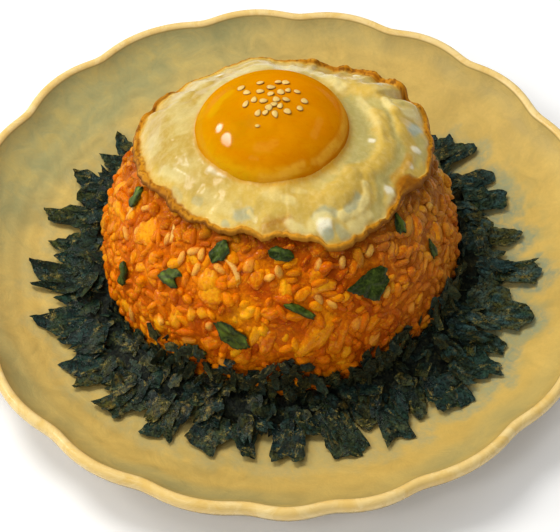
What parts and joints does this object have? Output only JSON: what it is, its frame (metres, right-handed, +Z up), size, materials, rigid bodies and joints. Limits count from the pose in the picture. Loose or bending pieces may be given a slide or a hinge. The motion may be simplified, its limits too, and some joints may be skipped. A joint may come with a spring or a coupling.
{
  "type": "kimchi fried rice on a plate",
  "caption": "Round mound of kimchi fried rice under a fried egg, ringed by shredded seaweed, on a wide shallow plate with a pinched rim.",
  "frame": {"origin": "middle of the plate's outline, on the plane its foot stands on", "axes": "+Z up; -Y towards the viewer, where the fried egg hangs lowest; +X to the viewer's right"},
  "size_m": [0.2114, 0.2108, 0.0789],
  "materials": {
    "plate_glaze": "satin cream-yellow stoneware glaze, mottled grey-green, with a lighter lip",
    "fried_rice": "food: moist orange rice grains with kimchi and spring onion",
    "seaweed": "food: dry shredded roasted seaweed, green-black",
    "egg_white": "food: soft fried egg white, creamy, browned at its edge",
    "egg_yolk": "food: glossy runny yolk"
  },
  "bodies": {
    "root": {"plate": "plate_glaze", "rice_mound": "fried_rice", "seaweed": "seaweed", "egg_white": "egg_white", "egg_yolk": "egg_yolk"}
  },
  "joints": []
}
